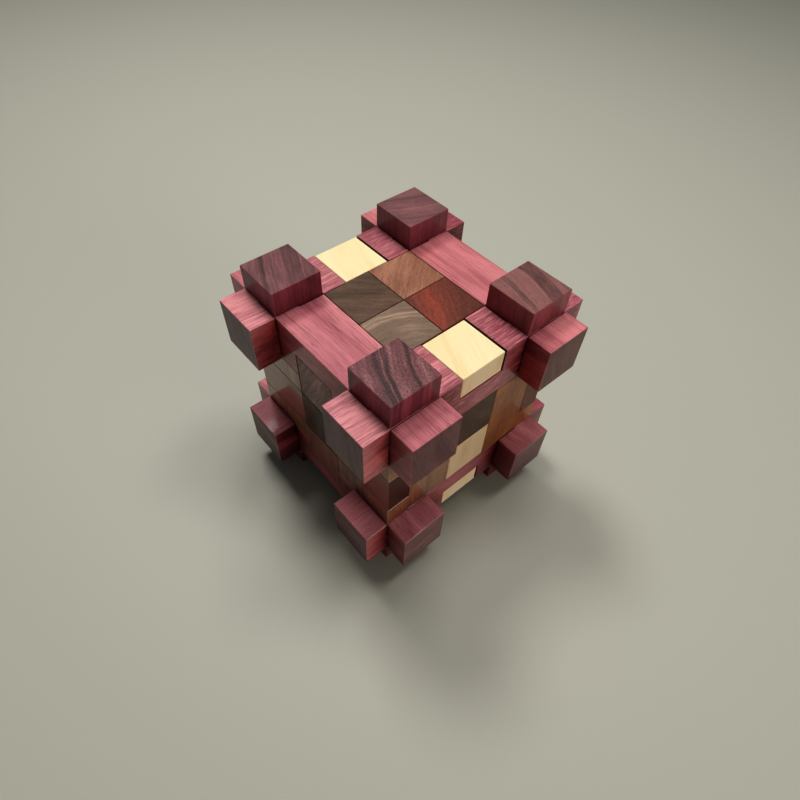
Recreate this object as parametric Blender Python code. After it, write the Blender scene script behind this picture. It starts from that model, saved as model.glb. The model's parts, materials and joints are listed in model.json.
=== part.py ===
"""Wooden burr puzzle: thirty-five sticks, blocks and pins that interlock into one cube with projecting ends.

Every piece is cut on one square grid. The sticks are two grid steps square, the solid cube is eight steps
wide, and the stick ends and pin heads stand one step proud of it at all eight corners, so the puzzle is ten
steps across and stands on four pin heads. Within this file x runs left to right, y front to back and z up,
in grid steps from the middle of the cube; make_piece turns them into metres above the table.
"""

from itertools import product
from math import radians

import bmesh
import bpy
from mathutils import Vector

# Driving dimensions, in metres
GRID = 0.0127  # half an inch; the sticks are one inch square
CHAMFER = 0.0002  # on every outer edge
PLANED = 0.00015  # taken off each face of a piece that stays put
LOOSE = 0.00024  # taken off each face of a piece that slides
SLACK = 0.00022  # taken off a key block as well, which then rests to one side of its notch

# Places on the grid, in steps from the middle of the cube
THIN = 1
CORE = 2
OUTER = 3
FACE = 4
END = 5

TABLE = LOOSE - END * GRID  # the height that the lower pin heads' ends come to
SIDES = (-1, 1)
LEFT_RIGHT = {-1: "left", 1: "right"}
FRONT_BACK = {-1: "front", 1: "back"}
BOTTOM_TOP = {-1: "bottom", 1: "top"}

# Woods: linear base colour and roughness
WOODS = {
    "purpleheart": ((0.40, 0.125, 0.135), 0.34),
    "purpleheart_pin": ((0.26, 0.090, 0.100), 0.38),
    "maple": ((0.86, 0.70, 0.44), 0.36),
    "dark_walnut": ((0.095, 0.062, 0.042), 0.36),
    "grey_walnut": ((0.22, 0.155, 0.110), 0.36),
    "cherry": ((0.31, 0.140, 0.088), 0.36),
    "padauk": ((0.25, 0.052, 0.034), 0.36),
    "iroko": ((0.30, 0.150, 0.060), 0.36),
    "bubinga": ((0.17, 0.070, 0.046), 0.36),
}


def clear_scene():
    for thing in list(bpy.data.objects):
        bpy.data.objects.remove(thing, do_unlink=True)


def make_wood(name):
    colour, roughness = WOODS[name]
    wood = bpy.data.materials.new(name)
    wood.use_nodes = True
    shader = wood.node_tree.nodes["Principled BSDF"]
    shader.inputs["Base Color"].default_value = (*colour, 1.0)
    shader.inputs["Roughness"].default_value = roughness
    shader.inputs["Metallic"].default_value = 0.0
    return wood


def cells(x, y, z):
    """The unit cells of a box, from a pair of grid places along each axis, in either order."""
    return set(product(*(range(min(pair), max(pair)) for pair in (x, y, z))))


def joined_cells(cell, corner, wood):
    """The cells round a grid corner that join a cell face to face, which parts those that meet on an edge."""
    around = {tuple(c - step for c, step in zip(corner, steps)) for steps in product((0, 1), repeat=3)}
    group = set()
    beside = {cell}
    while beside:
        group |= beside
        left = (around & wood) - group
        beside = {other for other in left if any(side_by_side(other, one) for one in group)}
    return group


def side_by_side(one, other):
    return sum(abs(a - b) for a, b in zip(one, other)) == 1


def skin(wood):
    """The outer faces of a set of cells, as one closed mesh."""
    shell = bmesh.new()
    corners = {}
    for cell in sorted(wood):
        for axis, side in product(range(3), SIDES):
            beside = list(cell)
            beside[axis] += side
            if tuple(beside) in wood:
                continue
            across = (axis + 1) % 3
            along = (axis + 2) % 3
            loop = []
            for a, b in ((0, 0), (1, 0), (1, 1), (0, 1))[::side]:
                corner = list(cell)
                corner[axis] += max(side, 0)
                corner[across] += a
                corner[along] += b
                key = (tuple(corner), min(joined_cells(cell, corner, wood)))
                if key not in corners:
                    corners[key] = shell.verts.new(corner)
                loop.append(corners[key])
            shell.faces.new(loop)
    shell.normal_update()
    return shell


def plane_back(shell, depth):
    """Moves every face inwards, so that neighbours on the grid keep a gap of twice this depth."""
    shifts = {}
    for corner in shell.verts:
        normals = {tuple(round(value) for value in face.normal) for face in corner.link_faces}
        shifts[corner] = sum((Vector(normal) for normal in normals), Vector()) * depth
    for corner, shift in shifts.items():
        corner.co = corner.co * GRID - shift


def mark_outer_edges(shell):
    """Gives the outer edges, and not the inner corners of notches, a full bevel weight."""
    weight = shell.edges.layers.float.new("bevel_weight_edge")
    for edge in shell.edges:
        outer = edge.is_convex and edge.calc_face_angle() > radians(45)
        edge[weight] = 1.0 if outer else 0.0


def make_piece(name, wood, material, planed=PLANED, slack=Vector()):
    """One puzzle piece from its cells; slack shifts it within the play that its neighbours leave."""
    shell = skin(wood)
    plane_back(shell, planed)
    bmesh.ops.dissolve_limit(shell, angle_limit=radians(1), verts=shell.verts, edges=shell.edges)
    mark_outer_edges(shell)
    low = Vector([min(corner.co[axis] for corner in shell.verts) for axis in range(3)])
    high = Vector([max(corner.co[axis] for corner in shell.verts) for axis in range(3)])
    middle = (low + high) / 2
    bmesh.ops.translate(shell, vec=-middle, verts=shell.verts)

    mesh = bpy.data.meshes.new(name)
    shell.to_mesh(mesh)
    shell.free()
    mesh.materials.append(material)
    piece = bpy.data.objects.new(name, mesh)
    bpy.context.collection.objects.link(piece)
    piece.location = middle + slack - Vector((0, 0, TABLE))

    chamfer = piece.modifiers.new("chamfer", "BEVEL")
    chamfer.width = CHAMFER
    chamfer.segments = 1
    chamfer.limit_method = "WEIGHT"
    return piece


def cross_rail(y, z):
    """A full-length frame rail from left to right, notched for the stick that crosses inside it.

    Each end keeps its full section outside the cube. Inside the corner it shares the cube's corner with a
    side rail and a pin, and narrows to one outer cell.
    """
    wood = cells((-END, END), (CORE * y, FACE * y), (CORE * z, FACE * z))
    wood -= cells((-THIN, THIN), (CORE * y, FACE * y), (CORE * z, OUTER * z))
    for x in SIDES:
        wood -= cells((CORE * x, FACE * x), (CORE * y, OUTER * y), (CORE * z, FACE * z))
        wood -= cells((OUTER * x, FACE * x), (CORE * y, FACE * y), (OUTER * z, FACE * z))
    return wood


def side_rail(x, z):
    """A full-length frame rail from front to back, notched outside for a sliding key block."""
    wood = cells((CORE * x, FACE * x), (-END, END), (CORE * z, FACE * z))
    wood -= cells((CORE * x, FACE * x), (-THIN, THIN), (OUTER * z, FACE * z))
    for y in SIDES:
        wood -= cells((CORE * x, OUTER * x), (CORE * y, FACE * y), (CORE * z, FACE * z))
        wood -= cells((CORE * x, FACE * x), (OUTER * y, FACE * y), (CORE * z, OUTER * z))
    return wood


def key_block(x, z):
    """The block that fills a side rail's notch and slides out sideways."""
    return cells((CORE * x, FACE * x), (-THIN, THIN), (OUTER * z, FACE * z))


def corner_pin(x, y, z):
    """A square head on a thinner shank, which passes both rails and ends inside the corner block."""
    head = cells((CORE * x, FACE * x), (CORE * y, FACE * y), (FACE * z, END * z))
    shank = cells((CORE * x, OUTER * x), (CORE * y, OUTER * y), (THIN * z, FACE * z))
    return head | shank


def corner_block(x, y):
    """The upright block between the rails at one vertical edge, forked round the end of a side stick.

    A square socket in its top and one in its bottom take the shanks of the two corner pins.
    """
    wood = cells((CORE * x, FACE * x), (THIN * y, OUTER * y), (-CORE, CORE))
    wood |= cells((THIN * x, FACE * x), (CORE * y, FACE * y), (-CORE, CORE))
    wood -= cells((THIN * x, FACE * x), (OUTER * y, FACE * y), (-THIN, THIN))
    wood -= cells((THIN * x, CORE * x), (CORE * y, OUTER * y), (-THIN, THIN))
    for z in SIDES:
        wood -= cells((CORE * x, OUTER * x), (CORE * y, OUTER * y), (THIN * z, CORE * z))
    return wood


def side_stick(y):
    """The stick between the two corner blocks of one side, halved over the middle through stick."""
    wood = cells((-FACE, FACE), (OUTER * y, FACE * y), (-THIN, THIN))
    wood |= cells((-CORE, CORE), (CORE * y, OUTER * y), (-THIN, THIN))
    wood -= cells((-THIN, THIN), (OUTER * y, FACE * y), (-THIN, THIN))
    wood -= cells((-THIN, THIN), (CORE * y, OUTER * y), (-THIN, 0))
    return wood


def upright(x, y):
    """A quarter of the cube's middle column: square heads at top and bottom on a thin core."""
    wood = cells((0, CORE * x), (0, CORE * y), (-FACE, FACE))
    wood -= cells((0, THIN * x), (0, CORE * y), (-OUTER, OUTER))
    wood -= cells((THIN * x, CORE * x), (0, THIN * y), (-CORE, CORE))
    return wood


def upper_cross_stick():
    """From left to right through the middle, notched on top for the key stick."""
    return cells((-FACE, FACE), (-THIN, THIN), (0, CORE)) - cells((-THIN, THIN), (-THIN, THIN), (THIN, CORE))


def lower_cross_stick():
    """From left to right below the upper one, notched on top for the middle through stick."""
    return cells((-FACE, FACE), (-THIN, THIN), (-CORE, 0)) - cells((-THIN, THIN), (-THIN, THIN), (-THIN, 0))


def key_stick():
    """The one plain stick: it runs from front to back and slides out first."""
    return cells((-THIN, THIN), (-FACE, FACE), (THIN, OUTER))


def middle_through_stick():
    """From front to back under the key stick, notched on top for a cross stick and both side sticks."""
    wood = cells((-THIN, THIN), (-FACE, FACE), (-THIN, THIN))
    wood -= cells((-THIN, THIN), (-THIN, THIN), (0, THIN))
    for y in SIDES:
        wood -= cells((-THIN, THIN), (CORE * y, OUTER * y), (0, THIN))
    return wood


def lower_through_stick():
    """From front to back at the bottom, notched on top for the lower cross stick."""
    wood = cells((-THIN, THIN), (-FACE, FACE), (-OUTER, -THIN))
    wood -= cells((-THIN, THIN), (-THIN, THIN), (-CORE, -THIN))
    return wood


def build_frame(woods):
    """The eight rails of the outer frame."""
    for z, y in product(SIDES, SIDES):
        name = f"{FRONT_BACK[y]}_{BOTTOM_TOP[z]}_rail"
        make_piece(name, cross_rail(y, z), woods["purpleheart"])
    for z, x in product(SIDES, SIDES):
        name = f"{LEFT_RIGHT[x]}_{BOTTOM_TOP[z]}_rail"
        make_piece(name, side_rail(x, z), woods["purpleheart"])


def build_corners(woods):
    """Four corner blocks and the eight pins that lock the frame to them."""
    for x, y in product(SIDES, SIDES):
        corner = f"{FRONT_BACK[y]}_{LEFT_RIGHT[x]}"
        make_piece(f"{corner}_corner_block", corner_block(x, y), woods["iroko"])
        for z in SIDES:
            name = f"{corner}_{BOTTOM_TOP[z]}_pin"
            make_piece(name, corner_pin(x, y, z), woods["purpleheart_pin"], planed=LOOSE)


def build_core(woods):
    """The crossing sticks inside the frame."""
    for y in SIDES:
        make_piece(f"{FRONT_BACK[y]}_side_stick", side_stick(y), woods["bubinga"])
    make_piece("upper_cross_stick", upper_cross_stick(), woods["dark_walnut"])
    make_piece("lower_cross_stick", lower_cross_stick(), woods["maple"])
    make_piece("middle_through_stick", middle_through_stick(), woods["dark_walnut"])
    make_piece("lower_through_stick", lower_through_stick(), woods["bubinga"])
    upright_woods = {
        (-1, -1): "dark_walnut",
        (1, -1): "grey_walnut",
        (-1, 1): "cherry",
        (1, 1): "padauk",
    }
    for (x, y), wood in upright_woods.items():
        make_piece(f"{FRONT_BACK[y]}_{LEFT_RIGHT[x]}_upright", upright(x, y), woods[wood])


def build_keys(woods):
    """The pieces that slide out first: one plain stick and four blocks."""
    make_piece("key_stick", key_stick(), woods["grey_walnut"], planed=LOOSE)
    for x, z in product(SIDES, SIDES):
        name = f"{LEFT_RIGHT[x]}_{BOTTOM_TOP[z]}_key_block"
        play = Vector((0, -SLACK, 0))
        make_piece(name, key_block(x, z), woods["maple"], planed=LOOSE + SLACK, slack=play)


def main():
    clear_scene()
    woods = {name: make_wood(name) for name in WOODS}
    build_frame(woods)
    build_corners(woods)
    build_core(woods)
    build_keys(woods)


main()
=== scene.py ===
import json
import math
import random

import bpy
from mathutils import Matrix, Vector


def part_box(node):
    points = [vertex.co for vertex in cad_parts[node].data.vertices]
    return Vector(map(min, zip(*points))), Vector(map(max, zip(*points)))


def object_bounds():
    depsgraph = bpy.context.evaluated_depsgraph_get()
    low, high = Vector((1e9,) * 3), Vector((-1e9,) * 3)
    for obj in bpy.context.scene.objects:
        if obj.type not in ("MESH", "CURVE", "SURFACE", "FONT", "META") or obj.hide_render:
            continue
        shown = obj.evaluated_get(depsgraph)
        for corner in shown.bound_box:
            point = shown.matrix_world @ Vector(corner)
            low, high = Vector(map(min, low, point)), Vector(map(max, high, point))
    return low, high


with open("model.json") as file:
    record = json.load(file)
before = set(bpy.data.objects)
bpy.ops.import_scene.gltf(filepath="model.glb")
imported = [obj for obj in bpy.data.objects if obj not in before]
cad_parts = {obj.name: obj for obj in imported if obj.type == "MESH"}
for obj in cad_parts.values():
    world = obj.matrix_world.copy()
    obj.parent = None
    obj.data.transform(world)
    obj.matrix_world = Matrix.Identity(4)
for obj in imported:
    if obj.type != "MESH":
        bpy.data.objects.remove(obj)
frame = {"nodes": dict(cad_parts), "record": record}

cad_low, cad_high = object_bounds()

# The puzzle is ten grid steps across
GRID = (cad_high.x - cad_low.x) / 10
MIDDLE = (cad_low + cad_high) / 2
MILLIMETRES = 1000.0    # in a metre, the scene's unit


def srgb(red, green, blue):
    """A display colour, 0 to 255, as linear light."""
    shares = (value / 255.0 for value in (red, green, blue))
    return tuple(s / 12.92 if s <= 0.04045 else ((s + 0.055) / 1.055) ** 2.4 for s in shares)


# ---------------------------------------------------------------- node trees

NOISE_GAIN = 5.0        # takes a noise node's usual range, 0.3 to 0.7, to about -1 to 1


class Tree:
    """Short calls for building a shader node tree; most take numbers or sockets and give a socket."""

    def __init__(self, owner):
        self.nodes = owner.node_tree.nodes
        self.links = owner.node_tree.links

    def add(self, kind, inputs=None, **settings):
        """A new node, with its settings and what goes into its inputs."""
        node = self.nodes.new("ShaderNode" + kind)
        for name, value in settings.items():
            setattr(node, name, value)
        for key, value in (inputs or {}).items():
            self.feed(node.inputs[key], value)
        return node

    def feed(self, socket, value):
        """Links a socket to the input, or sets the input to a plain value."""
        if isinstance(value, bpy.types.NodeSocket):
            self.links.new(value, socket)
        else:
            socket.default_value = value

    def math(self, operation, a, b=0.0):
        return self.add("Math", {0: a, 1: b}, operation=operation).outputs[0]

    def vector(self, operation, a, b=(0.0, 0.0, 0.0)):
        node = self.add("VectorMath", {0: a, 1: b}, operation=operation)
        return node.outputs["Value" if operation in ("LENGTH", "DOT_PRODUCT") else "Vector"]

    def combine(self, x, y, z):
        return self.add("CombineXYZ", {0: x, 1: y, 2: z}).outputs[0]

    def split(self, vector):
        return self.add("SeparateXYZ", {0: vector}).outputs

    def plus(self, value, extra, amount):
        """The value, plus so much of the extra."""
        return self.math("ADD", value, self.math("MULTIPLY", extra, amount))

    def mix(self, amount, a, b):
        """Colour a where the amount is 0, colour b where it is 1."""
        node = self.add("Mix", data_type="RGBA")
        for key, value in ((0, amount), (6, a), (7, b)):
            self.feed(node.inputs[key], value)
        return node.outputs[2]

    def shade(self, colour, amount):
        """The colour times a number."""
        return self.vector("MULTIPLY", colour, self.combine(amount, amount, amount))

    def between(self, value, low, high):
        """0 below low, 1 above high, smooth in between."""
        inputs = {"Value": value, "From Min": low, "From Max": high}
        return self.add("MapRange", inputs, interpolation_type="SMOOTHSTEP").outputs[0]

    def noise(self, place, stretch, detail=2.0, rough=0.5):
        """Noise from about -1 to 1; stretch is its frequency per millimetre along each axis."""
        inputs = {"Vector": self.vector("MULTIPLY", place, stretch), "Scale": 1.0}
        inputs.update({"Detail": detail, "Roughness": rough})
        noise = self.add("TexNoise", inputs).outputs[0]
        return self.math("MULTIPLY", self.math("SUBTRACT", noise, 0.5), NOISE_GAIN)

    def ramp(self, value, stops):
        """The colour for the value, from stops that are each a place from 0 to 1 and a colour."""
        node = self.add("ValToRGB", {0: value})
        elements = node.color_ramp.elements
        while len(elements) < len(stops):
            elements.new(1.0)
        for element, (place, colour) in zip(elements, stops):
            element.position = place
            element.color = (*colour, 1.0)
        return node.outputs[0]


# ---------------------------------------------------------------- woods

# What any wood has, unless its species or piece says otherwise. Sizes are in millimetres.
PLAIN = {
    "end": (0.55, 0.50, 0.50),    # tint of the end grain
    "band": 9.0,                  # width of the broad colour bands
    "bands_by_chance": 0.25,      # how much those bands change the colour
    "side_bands": 1.0,            # how much of the bands shows on long grain
    "patches": 0.10,              # how much slow patches change the colour
    "line": 1.6,                  # spacing of the fine growth lines
    "lines": 0.12,                # how much they change the colour
    "shade_slope": 0.0,                  # painted shade: how much lighter the piece gets for each millimetre along the grain
    "fibre": 0.06,                # how much the fibres vary
    "dashes": 0.12,               # how dark the short dashes are
    "pores": 0.20,                # how dark the pores are
    "flecks": 0.0,                # how much the light flecks cover
    "speckle": 0.05,              # how much the end grain varies from pore to pore
    "strokes": 0.06,              # and from one short stroke along the rings to the next
    "wander": 4.8,                # how far the grain wanders
    "slope": 0.02,                # how far the rings drift for each millimetre along the grain
    "gloss": 0.85,                # how much lacquer stands on long grain
    "end_gloss": 0.20,            # and on end grain
    "shade_in_corners": 0.6,                # how strongly shade is painted into the colour on the upright faces of inner corners
}

SPECIES = {
    "purpleheart": {
        "dark": srgb(138, 58, 70), "mid": srgb(186, 106, 113), "light": srgb(222, 142, 144),
        "fleck": srgb(232, 160, 160), "flecks": 0.12, "line": 1.2, "lines": 0.16, "fibre": 0.10,
        "end": (0.28, 0.38, 0.39), "gloss": 0.50, "shade_in_corners": 2.5,
    },
    "purpleheart_pin": {
        "dark": srgb(82, 42, 48), "mid": srgb(138, 66, 78), "light": srgb(184, 98, 108),
        "line": 1.2, "lines": 0.18, "side_bands": 0.45, "fibre": 0.10, "speckle": 0.12, "strokes": 0.12,
        "end": (0.69, 1.20, 0.90), "gloss": 0.35, "end_gloss": 0.12,
    },
    "maple": {
        "dark": srgb(236, 204, 148), "mid": srgb(248, 226, 174), "light": srgb(252, 234, 188),
        "line": 2.4, "lines": 0.15, "patches": 0.16, "fibre": 0.015, "dashes": 0.02, "pores": 0.03,
        "speckle": 0.02, "strokes": 0.015, "end": (1.00, 0.94, 1.06),
    },
    "dark_walnut": {
        "dark": srgb(60, 43, 33), "mid": srgb(92, 69, 54), "light": srgb(124, 96, 78),
        "line": 1.1, "lines": 0.18, "fibre": 0.10, "speckle": 0.16, "strokes": 0.14,
        "end": (0.95, 0.95, 0.93),
    },
    "grey_walnut": {
        "dark": srgb(97, 76, 60), "mid": srgb(130, 107, 90), "light": srgb(182, 153, 128),
        "line": 1.3, "lines": 0.14, "fibre": 0.08, "end": (0.97, 0.97, 0.96),
    },
    "cherry": {
        "dark": srgb(116, 70, 54), "mid": srgb(155, 106, 82), "light": srgb(190, 136, 108),
        "fleck": srgb(204, 154, 126), "flecks": 0.15, "line": 1.0, "lines": 0.18, "pores": 0.24,
        "speckle": 0.08, "strokes": 0.13, "end": (0.98, 0.98, 0.98),
    },
    "padauk": {
        "dark": srgb(86, 48, 36), "mid": srgb(118, 58, 44), "light": srgb(154, 70, 51),
        "fleck": srgb(172, 96, 70), "flecks": 0.22, "line": 1.1, "lines": 0.20, "fibre": 0.20,
        "speckle": 0.10, "strokes": 0.22, "end": (0.98, 0.98, 0.98),
    },
    "iroko": {
        "dark": srgb(108, 62, 32), "mid": srgb(146, 92, 52), "light": srgb(182, 128, 76),
        "line": 1.8, "lines": 0.22, "pores": 0.45, "end": (0.65, 0.62, 0.60), "gloss": 0.55, "shade_in_corners": 0.2,
    },
    "bubinga": {
        "dark": srgb(88, 46, 34), "mid": srgb(124, 72, 54), "light": srgb(152, 96, 74),
        "end": (0.85, 0.82, 0.80),
    },
}

# What sets single pieces apart. A pith is given by its direction from the piece's middle, in degrees across
# the grain, and its distance. A band is a place across the rings, positive away from the pith, and a tone
# from 0, dark, to 1, light.
PIECES = {
    "front_right_top_pin": {
        "pith": (67.0, 130.0), "speckle": 0.52, "fibre": 0.20, "lines": 0.22,
        "bands": (
            (-7.0, 0.55), (-6.3, 0.05), (-5.6, 0.10), (-4.9, 0.52), (1.8, 0.58), (2.6, 0.00),
            (3.8, 0.05), (4.4, 0.50), (4.9, 0.02), (7.5, 0.15), (9.3, 0.50),
        ),
    },
    "front_left_top_pin": {
        "pith": (65.0, 150.0),
        "bands": (
            (-9.0, 0.48), (-8.5, 0.72), (-8.0, 0.30), (-5.0, 0.28), (-1.5, 0.28), (-0.5, 0.56),
            (3.5, 0.56), (4.4, 0.30), (5.2, 0.50), (7.3, 0.48), (7.9, 0.15), (9.2, 0.18), (10.0, 0.56),
        ),
    },
    "back_right_top_pin": {
        "pith": (257.0, 90.0), "mid": srgb(156, 82, 89),
        "bands": (
            (-7.0, 0.58), (-6.4, 0.34), (-5.8, 0.54), (-5.2, 0.26), (-4.4, 0.62), (-3.0, 0.68),
            (3.5, 0.68), (4.6, 0.18), (5.6, 0.28), (9.0, 0.30), (9.8, 0.16), (10.6, 0.52),
        ),
    },
    "back_left_top_pin": {
        "pith": (158.0, 120.0), "lines": 0.10, "mid": srgb(139, 71, 84),
        "bands": (
            (-8.0, 0.60), (-7.0, 0.38), (-5.6, 0.38), (-4.6, 0.56), (1.2, 0.56),
            (2.1, 0.78), (3.2, 0.62), (9.3, 0.58), (10.3, 0.36), (11.5, 0.58),
        ),
    },
    "back_left_upright": {"pith": (41.0, 200.0)},
    "back_right_upright": {
        "pith": (240.0, 150.0),
        "bands": ((-12.0, 0.25), (-9.5, 0.66), (-2.5, 0.74), (0.0, 0.50), (5.0, 0.40), (9.0, 0.16)),
    },
    "front_left_upright": {"pith": (-38.0, 150.0)},
    "front_right_upright": {
        "pith": (-19.0, 36.0),
        "bands": (
            (-6.0, 0.38), (0.0, 0.46), (6.0, 0.48), (7.2, 0.72), (8.0, 0.56), (9.2, 0.84), (10.4, 0.50),
        ),
    },
    "left_top_key_block": {"pith": (0.0, 150.0), "slope": -0.21},
    "right_top_key_block": {"pith": (0.0, 150.0), "slope": -0.42},
    "right_bottom_key_block": {"end": (1.08, 1.06, 1.30)},
    "front_top_rail": {"pith": (20.0, 120.0), "dashes": 0.25, "end": (0.32, 0.42, 0.40)},
    "back_top_rail": {
        "mid": srgb(206, 124, 126), "pith": (15.0, 160.0), "flecks": 0.10, "dashes": 0.08,
        "end": (0.25, 0.33, 0.29), "shade_in_corners": 3.6,
    },
    "left_top_rail": {
        "mid": srgb(160, 89, 96), "pith": (80.0, 120.0), "flecks": 0.45, "lines": 0.26, "dashes": 0.28,
        "shade_slope": -0.006, "shade_in_corners": 3.6,
    },
    "right_top_rail": {
        "mid": srgb(171, 97, 105), "pith": (80.0, 120.0), "flecks": 0.55, "lines": 0.26, "dashes": 0.28,
        "shade_slope": -0.005,
    },
    "right_bottom_rail": {
        "mid": srgb(174, 96, 104), "end": (0.39, 0.54, 0.57), "shade_slope": -0.004, "shade_in_corners": 4.2,
    },
    "left_bottom_rail": {"mid": srgb(162, 86, 92), "end": (0.32, 0.44, 0.46)},
    "front_bottom_rail": {"mid": srgb(159, 86, 92), "end": (0.56, 0.92, 0.82)},
    "back_bottom_rail": {"mid": srgb(166, 90, 96), "end": (0.44, 0.66, 0.62)},
    "front_side_stick": {"mid": srgb(141, 73, 55), "end": (0.29, 0.22, 0.19)},
    "back_side_stick": {"end": (0.67, 0.38, 0.20)},
    "front_left_corner_block": {"mid": srgb(148, 104, 76), "gloss": 0.85},
    "front_right_corner_block": {"mid": srgb(156, 108, 78), "gloss": 0.95, "shade_in_corners": 1.6},
    "back_right_corner_block": {"mid": srgb(148, 92, 52), "gloss": 0.28, "shade_in_corners": 0.0},
    "upper_cross_stick": {"lines": 0.07, "bands_by_chance": 0.10, "end": (0.78, 0.70, 0.64)},
    "lower_cross_stick": {"end": (0.85, 0.76, 0.85)},
    "key_stick": {"pith": (120.0, 120.0), "lines": 0.30, "end": (1.06, 0.88, 1.20)},
    "middle_through_stick": {"end": (0.46, 0.31, 0.24)},
    "lower_through_stick": {"end": (1.29, 1.24, 1.60)},
}

# The noises of the grain: frequencies per millimetre across the rings, round them and along the grain, then
# how many finer layers each has and how strong those are
PATCHES = ((0.10, 0.07, 0.035), 2.0, 0.5)
FIBRE = ((1.5, 1.0, 0.07), 3.0, 0.65)
DASHES = ((1.3, 1.1, 0.11), 1.0, 0.5)
FLECKS = ((1.7, 1.5, 0.15), 2.0, 0.6)
PORES = ((3.0, 2.6, 0.14), 1.0, 0.5)
SPECKLE = ((2.4, 2.0, 0.05), 2.0, 0.7)
STROKES = ((1.9, 0.30, 0.05), 3.0, 0.65)
WAVES = ((0.12, 0.12, 0.05), 1.0, 0.4)

PITH_AWAY = (50.0, 120.0)       # how far a pith placed by chance is from the middle, in millimetres
SHIFT_REACH = 400.0             # each piece's noise is shifted by up to this, in millimetres
RAMP_REACH = 18.0               # bands are placed up to this far from the piece's middle, in millimetres
CORNER_SHADE_REACH = 0.022            # how far the painted shade of an inner corner reaches from its walls, in metres
EDGE_RADIUS = 0.0006            # how far the wear and painted highlight reach from an edge, in metres
EDGE_WEAR_AND_HIGHLIGHT = 0.30                # how much of the light colour shows there, as wear and painted highlight
FIRST_SEED = 1000               # the seeds count up from here, one for each piece


def grain_axis(node):
    """Grain runs along a piece's longest side; where two sides match, along the first of them."""
    low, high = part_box(node)
    size = high - low
    return max(range(3), key=lambda axis: (round(size[axis], 4), -axis))


def ring_space(tree, position, node, look, shift):
    """Three distances in millimetres: across the growth rings, round them, and along the grain.

    The rings run round a pith beside the piece. The first distance is 0 in the piece's middle, and grows
    away from the pith.
    """
    # Place from the piece's middle, with the grain along z
    low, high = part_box(node)
    local = tree.vector("SUBTRACT", position, tuple((low + high) / 2))
    local = tree.split(tree.vector("MULTIPLY", local, (MILLIMETRES, MILLIMETRES, MILLIMETRES)))
    grain = grain_axis(node)
    inside = tree.combine(local[(grain + 1) % 3], local[(grain + 2) % 3], local[grain])

    # The grain wanders slowly along the piece
    slow = tree.vector("MULTIPLY", tree.vector("ADD", inside, shift), (0.05, 0.05, 0.02))
    drift = tree.add("TexNoise", {"Vector": slow, "Scale": 1.0, "Detail": 2.0}).outputs["Color"]
    drift = tree.vector("SUBTRACT", drift, (0.5, 0.5, 0.5))
    drift = tree.vector("MULTIPLY", drift, (look["wander"], look["wander"], 0.0))
    bent = tree.vector("ADD", inside, drift)

    # Rings lean with the slope, and lie round the pith
    angle, distance = look["pith"]
    toward = Vector((math.cos(math.radians(angle)), math.sin(math.radians(angle)), 0.0))
    aside = Vector((-toward.y, toward.x, 0.0))
    along = tree.vector("DOT_PRODUCT", inside, (0.0, 0.0, 1.0))
    lean = tree.vector("MULTIPLY", tuple(toward * look["slope"]), tree.combine(along, along, along))
    flat = tree.vector("MULTIPLY", tree.vector("SUBTRACT", bent, lean), (1.0, 1.0, 0.0))
    from_pith = tree.vector("SUBTRACT", flat, tuple(toward * distance))
    depth = tree.math("SUBTRACT", tree.vector("LENGTH", from_pith), distance)
    round_rings = tree.vector("DOT_PRODUCT", from_pith, tuple(aside))
    return depth, round_rings, along


def wood_tone(tree, look, place, depth, along, ends):
    """From 0, dark, to 1, light: broad bands, slow patches, fine growth lines and a painted shade that
    changes along the grain.
    """
    if "bands" in look:
        across = tree.math("ADD", 0.5, tree.math("MULTIPLY", depth, 0.5 / RAMP_REACH))
        stops = [(0.5 + 0.5 * mm / RAMP_REACH, (tone, tone, tone)) for mm, tone in look["bands"]]
        bands = tree.ramp(across, stops)
    else:
        chance = tree.noise(place, (1.0 / look["band"], 0.02, 0.01))
        bands = tree.plus(0.5, chance, look["bands_by_chance"])
    shown = tree.plus(look["side_bands"], ends, 1.0 - look["side_bands"])
    tone = tree.plus(0.5, tree.math("SUBTRACT", bands, 0.5), shown)
    tone = tree.plus(tone, tree.noise(place, *PATCHES), look["patches"])
    lines = tree.noise(place, (1.0 / look["line"], 0.06, 0.015), 2.0, 0.6)
    tone = tree.plus(tone, lines, look["lines"])
    # Painted shade: the tone darkens steadily towards one end of the piece, where shade falls
    return tree.plus(tone, along, look["shade_slope"])


def draw_grain(tree, look, place, colour, fibre, pores):
    """Fibres, short dark dashes, light flecks and pores, all drawn out along the grain."""
    colour = tree.shade(colour, tree.plus(1.0, fibre, look["fibre"]))
    dashes = tree.between(tree.noise(place, *DASHES), 0.35, 0.85)
    colour = tree.shade(colour, tree.plus(1.0, dashes, -look["dashes"]))
    if look["flecks"]:
        flecks = tree.between(tree.noise(place, *FLECKS), 0.0, 0.9)
        colour = tree.mix(tree.math("MULTIPLY", flecks, look["flecks"]), colour, (*look["fleck"], 1.0))
    return tree.shade(colour, tree.plus(1.0, pores, -look["pores"]))


def tint_ends(tree, look, place, colour, ends):
    """End grain drinks more finish, and is speckled by its pores and streaked along its rings."""
    dots = tree.plus(1.0, tree.noise(place, *SPECKLE), look["speckle"])
    dots = tree.plus(dots, tree.noise(place, *STROKES), look["strokes"])
    return tree.mix(ends, colour, tree.shade(tree.vector("MULTIPLY", colour, look["end"]), dots))


def paint_corner_shade(tree, look, colour, facing_up):
    """Painted shade: colours are darkened and deepened on the upright faces of inner corners, the more the
    closer the walls.
    """
    openness = tree.add("AmbientOcclusion", {"Distance": CORNER_SHADE_REACH}, samples=4).outputs["AO"]
    upright = tree.math("SUBTRACT", 1.0, tree.between(facing_up, 0.3, 0.8))
    painted_shade = tree.math("MULTIPLY", tree.math("SUBTRACT", 1.0, openness), upright)
    return tree.add("Gamma", {0: colour, 1: tree.plus(1.0, painted_shade, look["shade_in_corners"])}).outputs[0]


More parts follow.
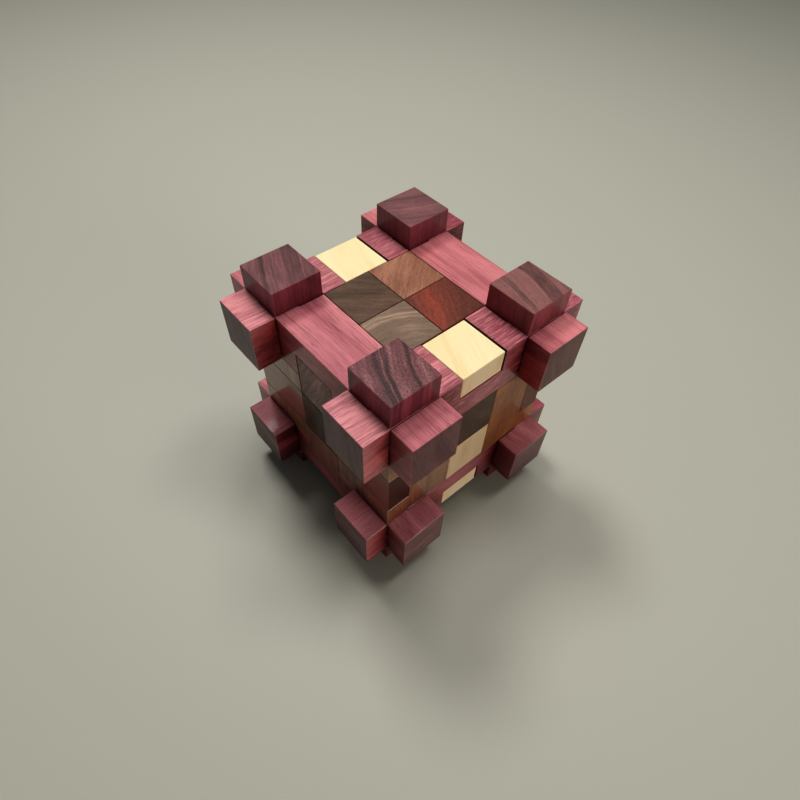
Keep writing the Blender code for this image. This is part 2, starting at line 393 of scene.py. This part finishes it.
def paint_edge_wear_and_highlight(tree, look, colour):
    """Edges show lighter, partly from a little wear and partly as a painted highlight."""
    rounded = tree.add("Bevel", {"Radius": EDGE_RADIUS}, samples=4).outputs[0]
    straight = tree.add("NewGeometry").outputs["Normal"]
    turn = tree.math("SUBTRACT", 1.0, tree.vector("DOT_PRODUCT", rounded, straight))
    edge = tree.math("MULTIPLY", tree.between(turn, 0.01, 0.25), EDGE_WEAR_AND_HIGHLIGHT)
    return tree.mix(edge, colour, (*look["light"], 1.0))


def lacquer(tree, look, place, colour, ends, fibre, pores):
    """The wood's own surface, under a lacquer that follows only its broad waves."""
    shader = tree.nodes["Principled BSDF"]
    tree.feed(shader.inputs["Base Color"], colour)
    tree.feed(shader.inputs["Roughness"], tree.plus(0.50, fibre, 0.05))
    height = tree.math("SUBTRACT", tree.math("MULTIPLY", fibre, 0.1), pores)
    relief = tree.add("Bump", {"Strength": 0.18, "Distance": 0.0002, "Height": height}).outputs[0]
    tree.feed(shader.inputs["Normal"], relief)
    waves = tree.noise(place, *WAVES)
    wavy = tree.add("Bump", {"Strength": 0.03, "Distance": 0.0006, "Height": waves}).outputs[0]
    tree.feed(shader.inputs["Coat Normal"], wavy)
    shader.inputs["Specular IOR Level"].default_value = 0.20
    coat = tree.plus(look["gloss"], ends, look["end_gloss"] - look["gloss"])
    tree.feed(shader.inputs["Coat Weight"], coat)
    shader.inputs["Coat Roughness"].default_value = 0.12
    shader.inputs["Coat IOR"].default_value = 1.5


def make_wood(node, look, shift):
    """Solid wood for one piece, as if cut from its own place in its own board."""
    material = bpy.data.materials.new(node)
    material.use_nodes = True
    tree = Tree(material)
    coords = tree.add("TexCoord").outputs
    facing = tree.split(coords["Normal"])

    # 1 on the end grain, 0 on the long grain
    ends = tree.between(tree.math("ABSOLUTE", facing[grain_axis(node)]), 0.6, 0.9)

    depth, round_rings, along = ring_space(tree, coords["Object"], node, look, shift)
    place = tree.vector("ADD", tree.combine(depth, round_rings, along), shift)
    tone = wood_tone(tree, look, place, depth, along, ends)
    colour = tree.ramp(tone, ((0.0, look["dark"]), (0.50, look["mid"]), (1.0, look["light"])))

    fibre = tree.noise(place, *FIBRE)
    pores = tree.between(tree.noise(place, *PORES), 0.4, 0.9)
    colour = draw_grain(tree, look, place, colour, fibre, pores)
    colour = tint_ends(tree, look, place, colour, ends)
    # Painted shade in the inner corners
    colour = paint_corner_shade(tree, look, colour, facing[2])
    # Edges lightened by a little wear and a painted highlight
    colour = paint_edge_wear_and_highlight(tree, look, colour)
    lacquer(tree, look, place, colour, ends, fibre, pores)
    return material


def dress(node, species, seed):
    """Gives a CAD node its own piece of wood."""
    rng = random.Random(seed)
    pith = (rng.uniform(0.0, 360.0), rng.uniform(*PITH_AWAY))
    shift = tuple(rng.uniform(-SHIFT_REACH, SHIFT_REACH) for axis in range(3))
    look = {**PLAIN, "pith": pith, **SPECIES[species], **PIECES.get(node, {})}
    piece = frame["nodes"][node]
    piece.data.materials.clear()
    piece.data.materials.append(make_wood(node, look, shift))
    for polygon in piece.data.polygons:
        polygon.material_index = 0


for index, part in enumerate(frame["record"]["subparts"]):
    dress(part["node"], part["material_slot"], FIRST_SEED + index)


# ---------------------------------------------------------------- floor, light and camera

FLOOR_HALF = 3.0        # half the floor's side, in metres
PANEL_AWAY = 1.2        # from the puzzle's middle to each light panel, in metres


def make_floor():
    """A plain pale floor under the puzzle."""
    half = FLOOR_HALF
    corners = [(-half, -half, 0.0), (half, -half, 0.0), (half, half, 0.0), (-half, half, 0.0)]
    mesh = bpy.data.meshes.new("floor")
    mesh.from_pydata(corners, [], [(0, 1, 2, 3)])
    floor = bpy.data.objects.new("floor", mesh)
    bpy.context.scene.collection.objects.link(floor)
    material = bpy.data.materials.new("floor")
    material.use_nodes = True
    shader = material.node_tree.nodes["Principled BSDF"]
    shader.inputs["Base Color"].default_value = (0.46, 0.45, 0.375, 1.0)
    shader.inputs["Roughness"].default_value = 0.55
    shader.inputs["Specular IOR Level"].default_value = 0.30
    mesh.materials.append(material)


def add_panel(name, direction, size, power, colour=(1.0, 1.0, 1.0), spread=180.0):
    """A square light panel seen from the puzzle in that direction, facing it; spread is in degrees."""
    light = bpy.data.lights.new(name, "AREA")
    light.shape = "SQUARE"
    light.size = size
    light.energy = power
    light.color = colour
    light.spread = math.radians(spread)
    lamp = bpy.data.objects.new(name, light)
    bpy.context.scene.collection.objects.link(lamp)
    toward = Vector(direction).normalized()
    lamp.location = MIDDLE + PANEL_AWAY * toward
    lamp.rotation_euler = toward.to_track_quat("Z", "Y").to_euler()


def set_world(horizon, zenith):
    """A dim room, brighter overhead than round the sides."""
    world = bpy.data.worlds.new("studio")
    world.use_nodes = True
    tree = Tree(world)
    height = tree.split(tree.add("TexCoord").outputs["Generated"])[2]
    strength = tree.plus(horizon, tree.between(height, 0.0, 1.0), zenith - horizon)
    background = tree.nodes["Background"]
    background.inputs["Color"].default_value = (0.95, 0.98, 1.0, 1.0)
    tree.feed(background.inputs["Strength"], strength)
    bpy.context.scene.world = world


def add_camera(place, azimuth, elevation, roll, focal):
    """A camera at a place in grid steps from the puzzle's middle; the focal length is in image widths.

    Azimuth and elevation say where it looks from, in degrees: azimuth 0 is the front, and 90 the right.
    """
    az, el, ro = (math.radians(angle) for angle in (azimuth, elevation, roll))
    back = Vector((math.sin(az) * math.cos(el), -math.cos(az) * math.cos(el), math.sin(el)))
    level = (-back).cross(Vector((0.0, 0.0, 1.0))).normalized()
    upright = level.cross(-back)
    right = math.cos(ro) * level + math.sin(ro) * upright
    up = -math.sin(ro) * level + math.cos(ro) * upright
    camera = bpy.data.cameras.new("camera")
    camera.sensor_width = 36.0
    camera.lens = camera.sensor_width * focal
    camera.clip_start = 0.01
    eye = bpy.data.objects.new("camera", camera)
    bpy.context.scene.collection.objects.link(eye)
    turn = Matrix((right, up, back)).transposed().to_4x4()
    eye.matrix_world = Matrix.Translation(MIDDLE + Vector(place) * GRID) @ turn
    bpy.context.scene.camera = eye


make_floor()
set_world(horizon=0.05, zenith=0.12)
add_panel("left_lamp", (-0.49, 0.08, 0.87), size=0.30, power=6.2)
add_panel("middle_lamp", (-0.13, 0.20, 0.97), size=0.30, power=3.0)
add_panel("back_lamp", (0.14, 0.38, 0.91), size=0.30, power=3.0)
add_panel("side_panel", (0.92, 0.15, 0.28), size=0.50, power=0.44, colour=(1.0, 0.93, 0.85), spread=60.0)
add_camera((11.179, -10.304, 17.279), azimuth=47.218, elevation=51.200, roll=2.686, focal=0.7079)
bpy.context.scene.view_settings.view_transform = "Standard"
bpy.context.scene.view_settings.look = "Medium High Contrast"
